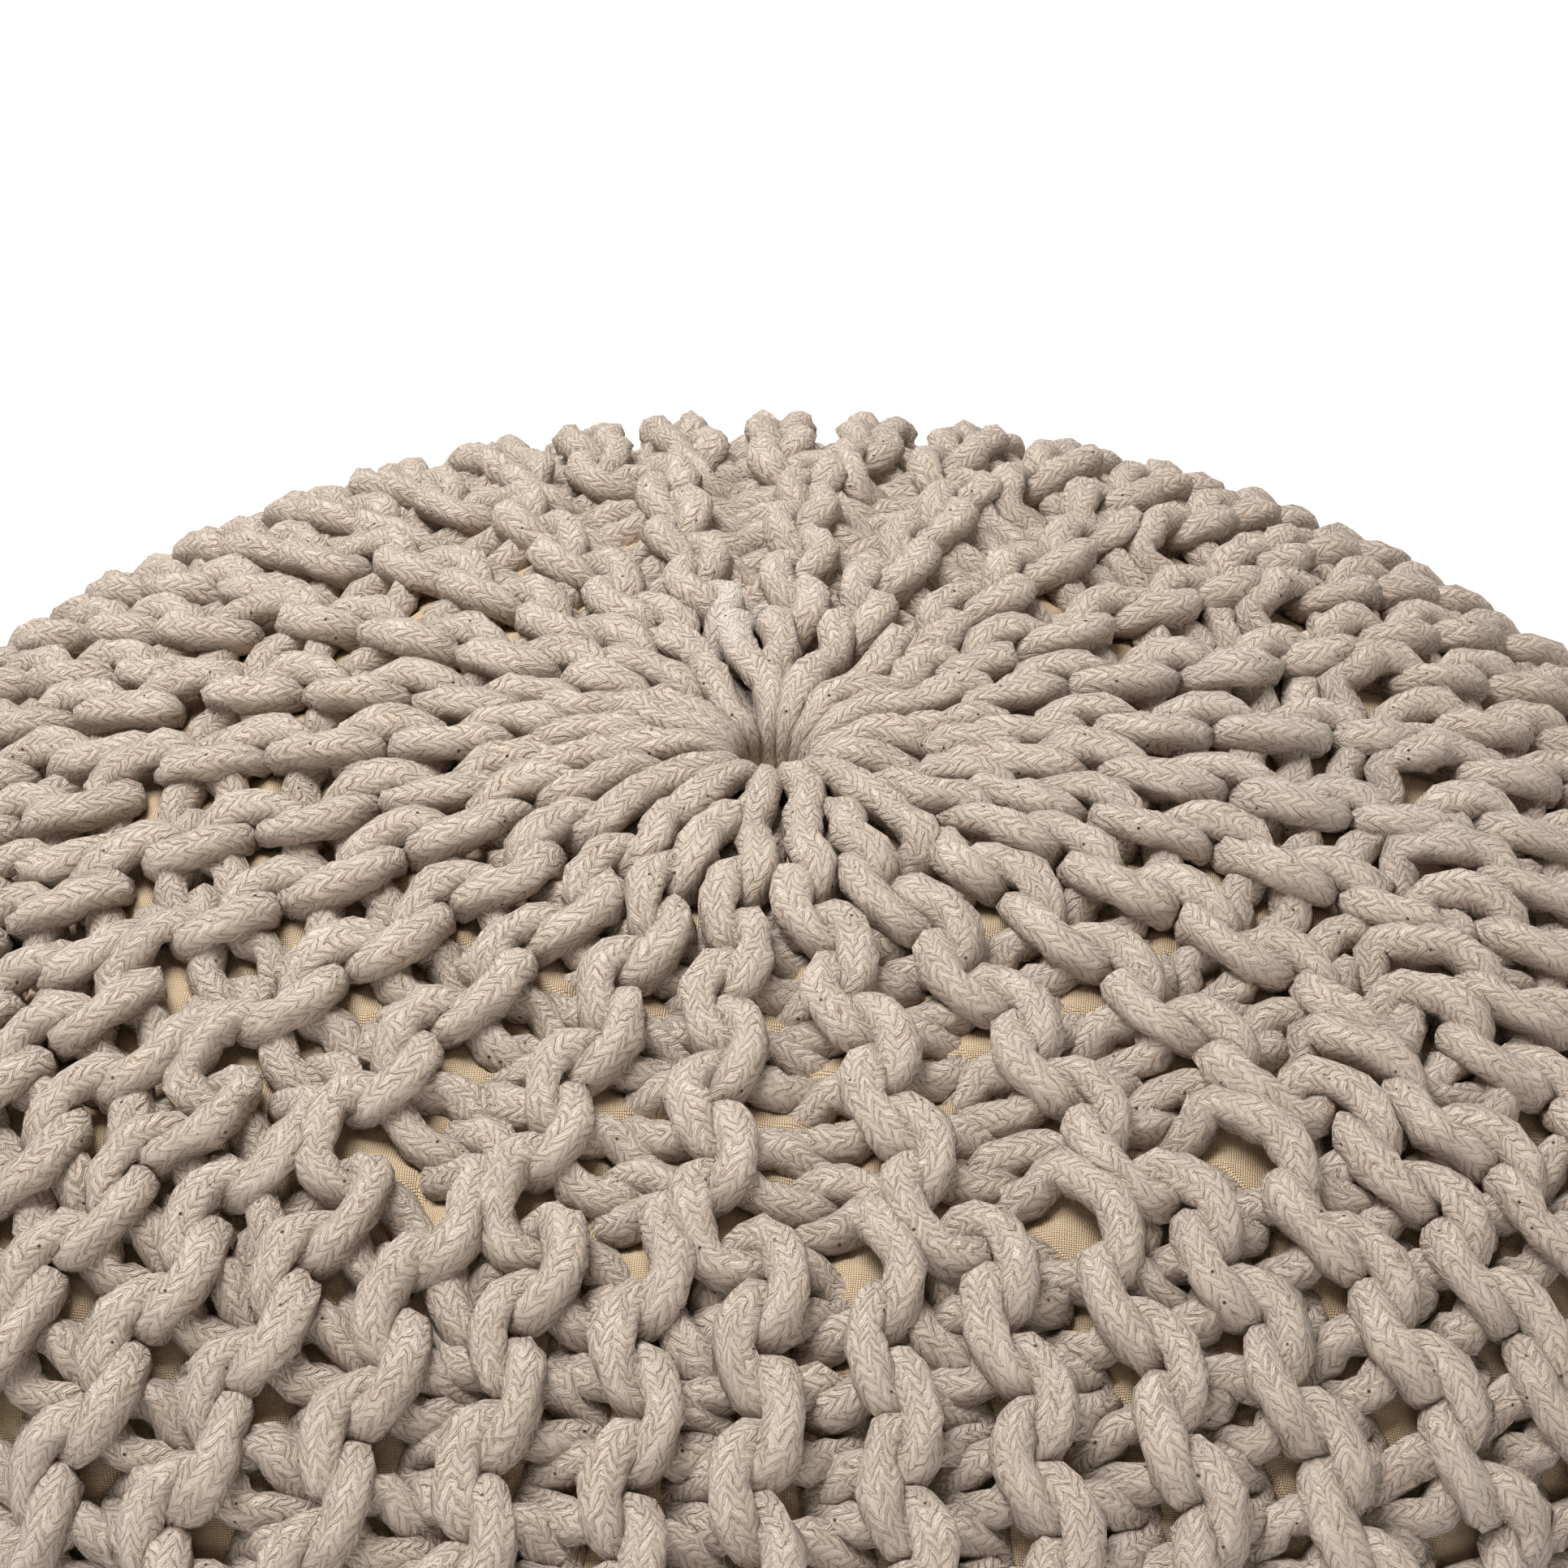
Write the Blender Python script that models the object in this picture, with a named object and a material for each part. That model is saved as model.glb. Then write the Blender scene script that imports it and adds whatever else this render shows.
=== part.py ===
"""Round knitted pouf: a ribbed open-knit cover over a filled calico bag.

Metres, +Z up. The origin is on the floor under the middle of the pouf.
The ribs of the garter stitch run from the top centre, over the side, to the bottom centre.
"""
import bisect
import math

import bmesh
import bpy

# Driving dimensions of the whole pouf
POUF_DIAMETER = 0.500      # over the rib crests at the widest level
POUF_HEIGHT = 0.300        # floor to the highest rib crest
CROWN_HEIGHT = 0.134       # widest level to the top
CROWN_POWER = 3.24         # how boxy the upper half is; 2 is an ellipse
FOOT_POWER = 2.6           # the same for the lower half
FOOT_SINK = 0.014          # how much of the round foot the floor flattens
GATHER_DEPTH = 0.007       # the puckered hole in the middle of the top
GATHER_RADIUS = 0.012

# The knit
STITCH_LENGTH = 0.0284     # one stitch along a rib
CENTRE_RIBS = 24           # ribs that reach the centre
OUTER_RIBS = 48            # with the short rows between them
SHORT_ROW_START = 0.140    # where the short rows begin, from the centre along the surface
UNEVEN_GATHER = -0.052     # radians that the ribs stand aside round the top, twice to each side
EVEN_FROM = (0.12, 0.24)   # the ribs come to stand evenly between these distances
RIB_WIDTH = 0.016          # a wavy cord with the room that its bends take
RIB_TOP_SHARE = 0.50       # width of the rounded top as a share of the rib's width
RIB_HEIGHT = 0.008         # one cord
RIB_WAVE = 0.0030          # the ribs swing this far to each side at the gaps
WALL = 0.016               # rib crest to the back of the knit
RIB_SHARE = 0.62           # most of the rib spacing that a rib takes near the centre
HEIGHT_SHARE = 0.45        # rib height as a share of the rib spacing near the centre
FLAT_FOOT_RADIUS = 0.045   # the knit is pressed flat here
FOOT_RIB_START = 0.120     # ribs have their full height again this far from the bottom centre

# Gaps cut through the knit, placed along the rib from the top centre
GAP_LENGTH = 0.0105        # along the rib
CENTRE_GAP_ROWS = 3        # one gap for each stitch between the long ribs
CENTRE_GAP_START = 0.0698
OUTER_GAP_ROWS = 4         # every second stitch between all ribs
OUTER_GAP_START = 0.1824
SIDE_BANDS = 4             # rings from the last gaps down to the foot

# The calico bag
BAG_CLEARANCE = 0.001      # bag to the back of the knit
BAG_SIDES = 48

# Slow unevenness of the filling, as shares of the radius; even waves keep the pouf centred
LUMPS = (
    # waves round the pouf, share of the radius, phase in radians
    {"waves": 2, "share": 0.006, "phase": 0.7},
    {"waves": 4, "share": 0.004, "phase": 2.1},
)

PROFILE_STEPS = 360
TOLERANCE = 1e-6
COTTON_CORD = {"name": "cotton_cord", "colour": (0.56, 0.48, 0.40, 1.0), "roughness": 0.92}
CALICO = {"name": "calico", "colour": (0.66, 0.55, 0.40, 1.0), "roughness": 0.88}


def clear_scene():
    for obj in list(bpy.data.objects):
        bpy.data.objects.remove(obj, do_unlink=True)


def make_material(finish):
    material = bpy.data.materials.new(finish["name"])
    material.use_nodes = True
    shader = material.node_tree.nodes["Principled BSDF"]
    shader.inputs["Base Color"].default_value = finish["colour"]
    shader.inputs["Roughness"].default_value = finish["roughness"]
    shader.inputs["Metallic"].default_value = 0.0
    return material


def crest_profile():
    """Points (radius, height) of the rib crests, from the top centre to the bottom centre."""
    radius = POUF_DIAMETER / 2
    waist = POUF_HEIGHT - CROWN_HEIGHT
    points = []
    for step in range(PROFILE_STEPS + 1):
        angle = math.pi * step / PROFILE_STEPS
        r = radius * math.sin(angle)
        up = math.cos(angle)
        if up >= 0:
            z = waist + CROWN_HEIGHT * up ** (2 / CROWN_POWER)
            z -= GATHER_DEPTH * math.exp(-(r / GATHER_RADIUS) ** 2)
        else:
            z = max(waist - (waist + FOOT_SINK) * (-up) ** (2 / FOOT_POWER), 0.0)
        points.append((max(r, 0.0), z))
    points[0] = (0.0, points[0][1])
    points[-1] = (0.0, 0.0)
    return points


class Meridian:
    """The crest profile, read by the distance from the top centre along it."""

    def __init__(self):
        self.points = crest_profile()
        self.distances = [0.0]
        for (r0, z0), (r1, z1) in zip(self.points, self.points[1:]):
            self.distances.append(self.distances[-1] + math.hypot(r1 - r0, z1 - z0))
        self.length = self.distances[-1]

    def at(self, distance):
        distance = min(max(distance, 0.0), self.length)
        index = bisect.bisect_right(self.distances, distance) - 1
        index = min(index, len(self.points) - 2)
        start, end = self.distances[index], self.distances[index + 1]
        share = (distance - start) / (end - start)
        (r0, z0), (r1, z1) = self.points[index], self.points[index + 1]
        return r0 + (r1 - r0) * share, z0 + (z1 - z0) * share

    def below(self, distance, depth):
        """The point at this depth inside the crests, square to the profile."""
        reach = 0.004
        r, z = self.at(distance)
        r0, z0 = self.at(distance - reach)
        r1, z1 = self.at(distance + reach)
        length = math.hypot(r1 - r0, z1 - z0)
        return max(r + depth * (z1 - z0) / length, 0.0), z - depth * (r1 - r0) / length


def lump(angle, height):
    """Factor on the radius: none on the floor and at the top, most at mid height."""
    swell = math.sin(math.pi * height / POUF_HEIGHT)
    waves = sum(row["share"] * math.sin(row["waves"] * angle + row["phase"]) for row in LUMPS)
    return 1 + waves * swell


def rib_layout(distance, length):
    """Number of ribs at this distance, and the first rib's place in shares of their spacing.

    Each rib of the top forks in two where the short rows begin, and one of the two ends at the foot.
    """
    if distance < SHORT_ROW_START - TOLERANCE:
        return CENTRE_RIBS, 0.0
    if length - distance < SHORT_ROW_START + TOLERANCE:
        return CENTRE_RIBS, -0.25
    return OUTER_RIBS, 0.5


def cover_rings(length):
    """Rings of the cover, from the top centre down. Below a ring with gaps, the knit is cut through."""
    gap_starts = [CENTRE_GAP_START + row * STITCH_LENGTH for row in range(CENTRE_GAP_ROWS)]
    gap_starts += [OUTER_GAP_START + row * 2 * STITCH_LENGTH for row in range(OUTER_GAP_ROWS)]
    plain = [0.010, 0.024, 0.044, SHORT_ROW_START]
    plain += [length - distance for distance in (FLAT_FOOT_RADIUS, 0.080, 0.110, SHORT_ROW_START)]
    last_gap = gap_starts[-1] + GAP_LENGTH
    side_step = (length - SHORT_ROW_START - last_gap) / SIDE_BANDS
    plain += [last_gap + band * side_step for band in range(1, SIDE_BANDS)]
    rings = [{"distance": distance, "gaps": False, "swing": 0.0} for distance in plain]
    for start in gap_starts:
        rings.append({"distance": start, "gaps": True, "swing": -RIB_WAVE})
        rings.append({"distance": start + GAP_LENGTH, "gaps": False, "swing": RIB_WAVE})
    for ring in rings:
        ring["ribs"], ring["turn"] = rib_layout(ring["distance"], length)
    return sorted(rings, key=lambda ring: ring["distance"])


def rib_shape(radius, ribs, distance, length):
    """Half the rib's width as an angle, and the rib's height, at this ring."""
    spacing = 2 * math.pi * radius / ribs
    width = min(RIB_WIDTH, RIB_SHARE * spacing)
    height = min(RIB_HEIGHT, HEIGHT_SHARE * spacing)
    from_foot = length - distance
    if from_foot < FOOT_RIB_START:
        height *= max(from_foot - FLAT_FOOT_RADIUS, 0.0) / (FOOT_RIB_START - FLAT_FOOT_RADIUS)
    return width / 2 / radius, height


def aside(distance, angle):
    """How far the uneven gather moves a rib round the top, in radians."""
    start, end = EVEN_FROM
    share = min(max((distance - start) / (end - start), 0.0), 1.0)
    return UNEVEN_GATHER * (1 - share * share * (3 - 2 * share)) * math.sin(2 * angle)


def place(mesh, meridian, distance, depth, angle):
    r, z = meridian.below(distance, depth)
    r *= lump(angle, z)
    return mesh.verts.new((r * math.cos(angle), r * math.sin(angle), z))


def start_beside(ring, angle):
    """The ring of (angle, vertex), begun at its vertex nearest to the angle."""
    first = min(range(len(ring)), key=lambda index: abs(ring[index][0] - angle))
    return ring[first:] + [(a + 2 * math.pi, vertex) for a, vertex in ring[:first]]


def bridge(mesh, upper, lower):
    """Triangles between two closed rings of (angle, vertex), each step by the shorter way."""
    turn = 2 * math.pi
    lower = start_beside(lower, upper[0][0])
    above = upper + [(upper[0][0] + turn, upper[0][1])]
    under = lower + [(lower[0][0] + turn, lower[0][1])]
    i = j = 0
    while i < len(upper) or j < len(lower):
        step_above = above[i + 1][0] - under[j][0] if i < len(upper) else turn
        step_under = under[j + 1][0] - above[i][0] if j < len(lower) else turn
        if step_above <= step_under:
            mesh.faces.new((above[i][1], above[i + 1][1], under[j][1]))
            i += 1
        else:
            mesh.faces.new((above[i][1], under[j + 1][1], under[j][1]))
            j += 1


def fan(mesh, ring, tip):
    for index in range(len(ring)):
        mesh.faces.new((ring[index][1], ring[(index + 1) % len(ring)][1], tip))


def add_gap(mesh, outer, inner):
    """Walls of one gap between its four corners outside and its four corners inside."""
    for k in range(4):
        mesh.faces.new((outer[k], outer[(k + 1) % 4], inner[(k + 1) % 4], inner[k]))


def finish_mesh(mesh, name, material):
    bmesh.ops.recalc_face_normals(mesh, faces=mesh.faces)
    data = bpy.data.meshes.new(name)
    mesh.to_mesh(data)
    mesh.free()
    data.materials.append(material)
    data.shade_smooth()
    data.set_sharp_from_angle(angle=math.radians(50))
    obj = bpy.data.objects.new(name, data)
    bpy.context.scene.collection.objects.link(obj)
    return obj


def ribbed_ring(mesh, meridian, ring):
    """Adds one ring of the cover: outside, each rib has two feet and two top edges; inside, two feet."""
    distance, ribs = ring["distance"], ring["ribs"]
    radius = meridian.at(distance)[0]
    half, height = rib_shape(radius, ribs, distance, meridian.length)
    section = ((-half, height), (-half * RIB_TOP_SHARE, 0.0), (half * RIB_TOP_SHARE, 0.0), (half, height))
    outside, inside = [], []
    for rib in range(ribs):
        middle = 2 * math.pi * (rib + ring["turn"]) / ribs + ring["swing"] / radius
        middle += aside(distance, middle)
        for across, depth in section:
            outside.append((middle + across, place(mesh, meridian, distance, depth, middle + across)))
        for angle in (middle - half, middle + half):
            inside.append((angle, place(mesh, meridian, distance, WALL, angle)))
    ring["outside"], ring["inside"] = outside, inside


def join_rings(mesh, upper, lower, per_rib, gaps):
    """Quads between two rings alike; with gaps, the quad between two ribs is left out."""
    count = len(upper)
    for index in range(count):
        if gaps and index % per_rib == per_rib - 1:
            continue
        after = (index + 1) % count
        mesh.faces.new((upper[index][1], upper[after][1], lower[after][1], lower[index][1]))


def knitted_cover(meridian, material):
    mesh = bmesh.new()
    rings = cover_rings(meridian.length)
    for ring in rings:
        ribbed_ring(mesh, meridian, ring)
    for upper, lower in zip(rings, rings[1:]):
        if upper["ribs"] != lower["ribs"]:
            bridge(mesh, upper["outside"], lower["outside"])
            bridge(mesh, upper["inside"], lower["inside"])
            continue
        join_rings(mesh, upper["outside"], lower["outside"], 4, upper["gaps"])
        join_rings(mesh, upper["inside"], lower["inside"], 2, upper["gaps"])
        if not upper["gaps"]:
            continue
        for rib in range(upper["ribs"]):
            after = (rib + 1) % upper["ribs"]
            corners = []
            for side, per_rib in (("outside", 4), ("inside", 2)):
                left, right = rib * per_rib + per_rib - 1, after * per_rib
                corners.append([upper[side][left][1], upper[side][right][1],
                                lower[side][right][1], lower[side][left][1]])
            add_gap(mesh, *corners)
    for ring, distance in ((rings[0], 0.0), (rings[-1], meridian.length)):
        fan(mesh, ring["outside"], place(mesh, meridian, distance, 0.0, 0.0))
        fan(mesh, ring["inside"], place(mesh, meridian, distance, WALL, 0.0))
    return finish_mesh(mesh, "knitted_cover", material)


def inner_bag(meridian, material):
    mesh = bmesh.new()
    depth = WALL + BAG_CLEARANCE
    rings = []
    turns = [2 * math.pi * side / BAG_SIDES for side in range(BAG_SIDES)]
    for ring in cover_rings(meridian.length):
        rings.append([(angle, place(mesh, meridian, ring["distance"], depth, angle)) for angle in turns])
    for upper, lower in zip(rings, rings[1:]):
        join_rings(mesh, upper, lower, 1, False)
    fan(mesh, rings[0], place(mesh, meridian, 0.0, depth, 0.0))
    fan(mesh, rings[-1], place(mesh, meridian, meridian.length, depth, 0.0))
    return finish_mesh(mesh, "inner_bag", material)


def build():
    clear_scene()
    meridian = Meridian()
    knitted_cover(meridian, make_material(COTTON_CORD))
    inner_bag(meridian, make_material(CALICO))


build()
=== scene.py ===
import math

import bpy
import numpy as np
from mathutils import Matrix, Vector
from mathutils.kdtree import KDTree


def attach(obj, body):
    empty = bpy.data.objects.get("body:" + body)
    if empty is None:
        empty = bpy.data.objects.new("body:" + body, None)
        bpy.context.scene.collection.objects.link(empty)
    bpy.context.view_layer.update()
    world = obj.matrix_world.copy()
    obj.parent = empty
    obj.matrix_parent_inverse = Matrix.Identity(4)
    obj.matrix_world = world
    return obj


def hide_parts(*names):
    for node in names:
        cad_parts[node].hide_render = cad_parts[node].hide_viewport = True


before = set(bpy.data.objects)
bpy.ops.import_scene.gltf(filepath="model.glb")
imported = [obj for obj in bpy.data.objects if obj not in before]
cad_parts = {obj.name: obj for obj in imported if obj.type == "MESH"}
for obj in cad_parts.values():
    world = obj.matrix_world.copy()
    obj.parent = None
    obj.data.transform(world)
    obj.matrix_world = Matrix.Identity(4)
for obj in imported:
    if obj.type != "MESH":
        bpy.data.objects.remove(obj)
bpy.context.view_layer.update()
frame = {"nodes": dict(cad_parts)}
print("frame loaded:", ", ".join(frame["nodes"]))

pouf = {  # the form that the knit is stretched over, as in the frame, in metres
    "diameter": 0.500,
    "height": 0.300,
    "crown": 0.134,  # widest level to the top
    "crownPower": 3.24,  # 2 would be an ellipse, and more is squarer
    "footPower": 2.6,
    "footSink": 0.014,  # how much deeper the foot would be if the floor didn't press it flat
    "gatherDepth": 0.007,  # the dip in the middle of the top
    "gatherRadius": 0.012,
    "lumps": ((2, 0.006, 0.7), (4, 0.004, 2.1)),  # waves round, share of the radius, phase
    "outlineSteps": 720,
    "evenSteps": 1200,
    "softSteps": 8,  # the normals are evened out over this many steps each way
}


def smoothStep(low, high, value):
    share = np.clip((value - low) / (high - low), 0.0, 1.0)
    return share * share * (3 - 2 * share)


def blend(a, b, share):
    return a + (b - a) * share


def makeProfile():
    # s runs along the surface from the top centre to the bottom centre
    turn = np.linspace(0, math.pi, pouf["outlineSteps"] + 1)
    r = pouf["diameter"] / 2 * np.sin(turn)
    up = np.cos(turn)
    waist = pouf["height"] - pouf["crown"]
    top = waist + pouf["crown"] * np.abs(up) ** (2 / pouf["crownPower"])
    top -= pouf["gatherDepth"] * np.exp(-(r / pouf["gatherRadius"]) ** 2)
    low = waist - (waist + pouf["footSink"]) * np.abs(up) ** (2 / pouf["footPower"])
    z = np.where(up >= 0, top, np.maximum(low, 0.0))
    s = np.concatenate(([0.0], np.cumsum(np.hypot(np.diff(r), np.diff(z)))))
    even = np.linspace(0, s[-1], pouf["evenSteps"] + 1)
    r, z = np.interp(even, s, r), np.interp(even, s, z)
    reach = pouf["softSteps"]
    soft = np.ones(2 * reach + 1) / (2 * reach + 1)  # rounds the normals over the kinks
    dr = np.convolve(np.pad(np.gradient(r), reach, mode="edge"), soft, mode="valid")
    dz = np.convolve(np.pad(np.gradient(z), reach, mode="edge"), soft, mode="valid")
    length = np.hypot(dr, dz)
    return {"s": even, "r": r, "z": z, "outR": -dz / length, "outZ": dr / length, "length": even[-1]}


profile = makeProfile()


def onForm(s, azimuth, depth):
    r = np.interp(s, profile["s"], profile["r"])
    z = np.interp(s, profile["s"], profile["z"])
    outR = np.interp(s, profile["s"], profile["outR"])
    outZ = np.interp(s, profile["s"], profile["outZ"])
    r = np.maximum(r - depth * outR, 0.0)
    z = z - depth * outZ
    swell = np.sin(math.pi * np.clip(z / pouf["height"], 0, 1))
    waves = sum(share * np.sin(count * azimuth + phase) for count, share, phase in pouf["lumps"])
    r = r * (1 + waves * swell)
    return np.stack((r * np.cos(azimuth), r * np.sin(azimuth), z), axis=-1)


def outward(s, azimuth):
    outR = np.interp(s, profile["s"], profile["outR"])
    outZ = np.interp(s, profile["s"], profile["outZ"])
    return np.stack((outR * np.cos(azimuth), outR * np.sin(azimuth), outZ), axis=-1)


knit = {  # garter stitch, rows running from top centre to bottom centre
    "cord": 0.0083,
    "stitch": 0.0284,
    "pointsPerStitch": 24,
    "sectors": 24,  # ribs that reach the centre
    "linesPerSector": 4,  # between which the rows lie
    "firstHead": 0.0436,  # first loop head, from the centre along the surface
    "shortRowStitch": 4,  # the short rows turn at this stitch
    "fanOut": 0.3,  # rows change their lines beside a turn over this part of a stitch, each way
    "sideBySide": 1.22,  # loop arcs of one rib overlap by this many cords
    "fullRoom": 0.9,  # and by less where a row is narrower than this many cords
    "loopFlare": (0.70, -0.28),  # how much wider a loop is than its neck, by waves, in cords
    "backFlare": 0.3,  # the loops hook less on the back of the knit
    "frontSoft": 0.35,  # how gradually they pass from the back to the front
    "lift": 0.80,  # rib cords over the middle layer, in cords
    "roundness": 1.35,  # power of the arch that a loop makes over its face
    "riseBefore": 0.36,  # a row that rises does so most this many stitches before the short rows' turn
    "riseReach": 0.014,
    "turnLength": 1.2,  # the yarn that turns into the next row gets points for this times the gap
    "unevenGather": -0.052,  # radians that the ribs are shifted round the top, in two waves round
    "unevenReach": (0.12, 0.24),  # which fade out between these, from the centre along the surface
}

gather = {  # near both centres the rows are plain strands; lengths from the centre, along the surface
    "start": 0.0025,  # of the strands
    "loopStart": (0.024, 0.036),  # the first loop of a row starts between these
    "loopGrow": 0.026,
    "footLoops": (0.036, 0.062),  # under the foot the loops fade out here
    "upperAcross": 0.92,  # strands on top lie at this share of the way to their right line
    "upperHeight": 0.95,  # in lifts
    "lowerAcross": 1.3,  # strands between and below them, at this times the row's middle
    "lowerHeight": -0.35,
    "repeat": 8,  # ribs
    "hiddenRibs": (1, 4, 6),  # of each repeat, these end under their neighbours
    "hiddenHeight": -0.9,
    "hiddenRise": (0.016, 0.036),  # and come up between these
    "closing": (0.010, 0.040),  # the others close up over them inside this
    "dive": 0.016,  # how deep the strands run into the hole of the top
    "diveReach": 0.009,
    "thin": 0.60,  # the cords are squeezed to this share
    "thinReach": (0.002, 0.026),
    "leastRadius": 0.002,  # keeps angles small at the very centre
}

handWork = {  # how uneven the knitting is, in metres or as shares
    "seed": 7,
    "line": 0.0015,
    "lineMarks": 14,  # a wander changes its way at so many marks from centre to centre
    "slip": 0.0008,  # of a stitch along its row
    "width": 0.08,
    "flare": 0.06,
    "moreMarks": 5,  # than a row has stitches
    "strand": 0.0016,
    "strandMarks": 60,
    "strandStart": (0.004, 0.02),
}

# The four rows of a sector. A row lies between a left and a right line, given in sectors at the top,
# down the side and under the foot, and leftLine and rightLine say whose wander they take.
# face: its right-hand arcs lie on the outside (1) or its left-hand ones (-1).
# top, bottom: where a short row turns back, in stitches, or None where it runs on to the centre.
# edges: where the row changes its lines, in stitches from the turns. rise: how far its loops rise.
rows = (
    {"face": 1, "top": None, "bottom": None, "edges": (-0.5, 1.0), "rise": 0.009,
     "left": (-0.5, -0.5, -0.75), "leftLine": (0, 0, -2),
     "right": (0.0, -0.25, -0.25), "rightLine": (1, 1, 1)},
    {"face": -1, "top": 0.25, "bottom": None, "edges": (0.0, 0.5), "rise": 0.0,
     "left": (-0.25, -0.25, -0.25), "leftLine": (1, 1, 1),
     "right": (0.0, 0.0, 0.25), "rightLine": (2, 2, 2)},
    {"face": 1, "top": -0.25, "bottom": -0.25, "edges": (0.0, 0.0), "rise": 0.0,
     "left": (0.0, 0.0, 0.0), "leftLine": (2, 2, 2),
     "right": (0.25, 0.25, 0.25), "rightLine": (3, 3, 3)},
    {"face": -1, "top": None, "bottom": 0.25, "edges": (0.0, 0.0), "rise": 0.0,
     "left": (0.0, 0.25, 0.25), "leftLine": (1, 3, 3),
     "right": (0.5, 0.5, 0.5), "rightLine": (4, 4, 4)},
)


def wander(rng, size, marks, length):
    offsets = rng.normal(0, size, marks)
    return lambda s: np.interp(s, np.linspace(0, length, marks), offsets)


def byZone(values, s, topEdge, bottomEdge):
    half = knit["stitch"] * knit["fanOut"]
    side = smoothStep(topEdge - half, topEdge + half, s)
    under = smoothStep(bottomEdge - half, bottomEdge + half, s)
    return blend(blend(values[0], values[1], side), values[2], under)


def rowSpan(row):
    stitch, length = knit["stitch"], profile["length"]
    topTurn = knit["firstHead"] + knit["shortRowStitch"] * stitch
    stitches = round((length - 2 * knit["firstHead"]) / stitch)
    bottomTurn = knit["firstHead"] + (stitches - knit["shortRowStitch"]) * stitch
    start = gather["start"] if row["top"] is None else topTurn + row["top"] * stitch
    end = length - gather["start"] if row["bottom"] is None else bottomTurn + row["bottom"] * stitch
    flat = np.arange(start, end, stitch / knit["pointsPerStitch"])
    return flat, stitches, topTurn, bottomTurn


def rowSides(row, sector, flat, turns, lines, loop, r):
    edges = [turn + edge * knit["stitch"] for turn, edge in zip(turns, row["edges"])]
    pitch = 2 * math.pi * r / knit["sectors"]
    first = knit["linesPerSector"] * sector
    sides = []
    for side in ("left", "right"):
        around = [lines[(first + k) % len(lines)](flat) for k in row[side + "Line"]]
        sides.append(byZone(row[side], flat, *edges) * pitch + byZone(around, flat, *edges) * loop)
    return sides


def closeUp(sector):
    # how many sectors a rib that shows moves aside to share the room of the hidden ones
    repeat = gather["repeat"]
    seen = [k for k in range(repeat) if k not in gather["hiddenRibs"]]
    place = sector % repeat
    return (seen.index(place) + 0.5) * repeat / len(seen) - 0.5 - place


def rowPath(row, sector, rng, lines):
    cord, length = knit["cord"], profile["length"]
    flat, stitches, topTurn, bottomTurn = rowSpan(row)
    fromCentre = np.minimum(flat, length - flat)
    phase = 2 * math.pi * (flat - knit["firstHead"]) / knit["stitch"]
    bend = np.cos(phase)
    loopStart = rng.uniform(*gather["loopStart"])
    loop = smoothStep(loopStart, loopStart + gather["loopGrow"], flat)
    loop = loop * smoothStep(*gather["footLoops"], length - flat)
    marks = stitches + handWork["moreMarks"]
    slip = wander(rng, handWork["slip"], marks, length)(flat)
    wider = 1 + wander(rng, handWork["width"], marks, length)(flat)
    flare = cord * loop * (1 + wander(rng, handWork["flare"], marks, length)(flat))
    # along the surface a loop is wider than its neck
    waves = sum(size * np.sin(2 * (k + 1) * phase) for k, size in enumerate(knit["loopFlare"]))
    front = smoothStep(-knit["frontSoft"], knit["frontSoft"], row["face"] * bend)
    s = flat + flare * waves * blend(knit["backFlare"], 1.0, front) + slip * loop
    fromRise = flat - topTurn + knit["riseBefore"] * knit["stitch"]
    s -= row["rise"] * np.exp(-(fromRise / knit["riseReach"]) ** 2)
    # across, it swings from one line to the other
    r = np.maximum(np.interp(flat, profile["s"], profile["r"]), gather["leastRadius"])
    left, right = rowSides(row, sector, flat, (topTurn, bottomTurn), lines, loop, r)
    room = np.minimum(1.0, (right - left) / (knit["fullRoom"] * cord))
    reach = 0.5 * (right - left + knit["sideBySide"] * cord * room * wider)
    across = 0.5 * (left + right) + reach * bend * loop
    lift = knit["lift"] * cord
    height = row["face"] * lift * np.sign(bend) * np.abs(bend) ** knit["roundness"]
    # near the centres one row of each rib lies on top and the other between and below
    hidden = sector % gather["repeat"] in gather["hiddenRibs"]
    if row["face"] > 0:
        strandAcross = right * gather["upperAcross"]
        strandHeight = gather["upperHeight"] * lift
    else:
        strandAcross = 0.5 * (left + right) * gather["lowerAcross"]
        strandHeight = gather["lowerHeight"] * lift
    if hidden and row["face"] > 0:
        above = smoothStep(*gather["hiddenRise"], flat)
        strandHeight = blend(gather["hiddenHeight"] * lift, strandHeight, above)
    across = blend(strandAcross, across, loop)
    height = blend(strandHeight, height, loop)
    depth = cord / 2 + lift - height
    dive = 1 - smoothStep(0.0, gather["diveReach"], fromCentre)
    depth = depth + gather["dive"] * dive * (flat < length / 2)
    # round the pouf
    sectorAngle = 2 * math.pi / knit["sectors"]
    azimuth = sector * sectorAngle + across / r
    if not hidden:
        azimuth = azimuth + closeUp(sector) * sectorAngle * (1 - smoothStep(*gather["closing"], flat))
    strand = wander(rng, handWork["strand"], handWork["strandMarks"], length)(flat)
    azimuth = azimuth + strand * (1 - loop) * smoothStep(*handWork["strandStart"], flat) / r
    fade = 1 - smoothStep(*knit["unevenReach"], flat)
    azimuth = azimuth + knit["unevenGather"] * fade * np.sin(2 * azimuth)
    thin = blend(gather["thin"], 1.0, smoothStep(*gather["thinReach"], fromCentre))
    return {"s": s, "azimuth": azimuth, "depth": depth, "thin": thin}


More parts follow.
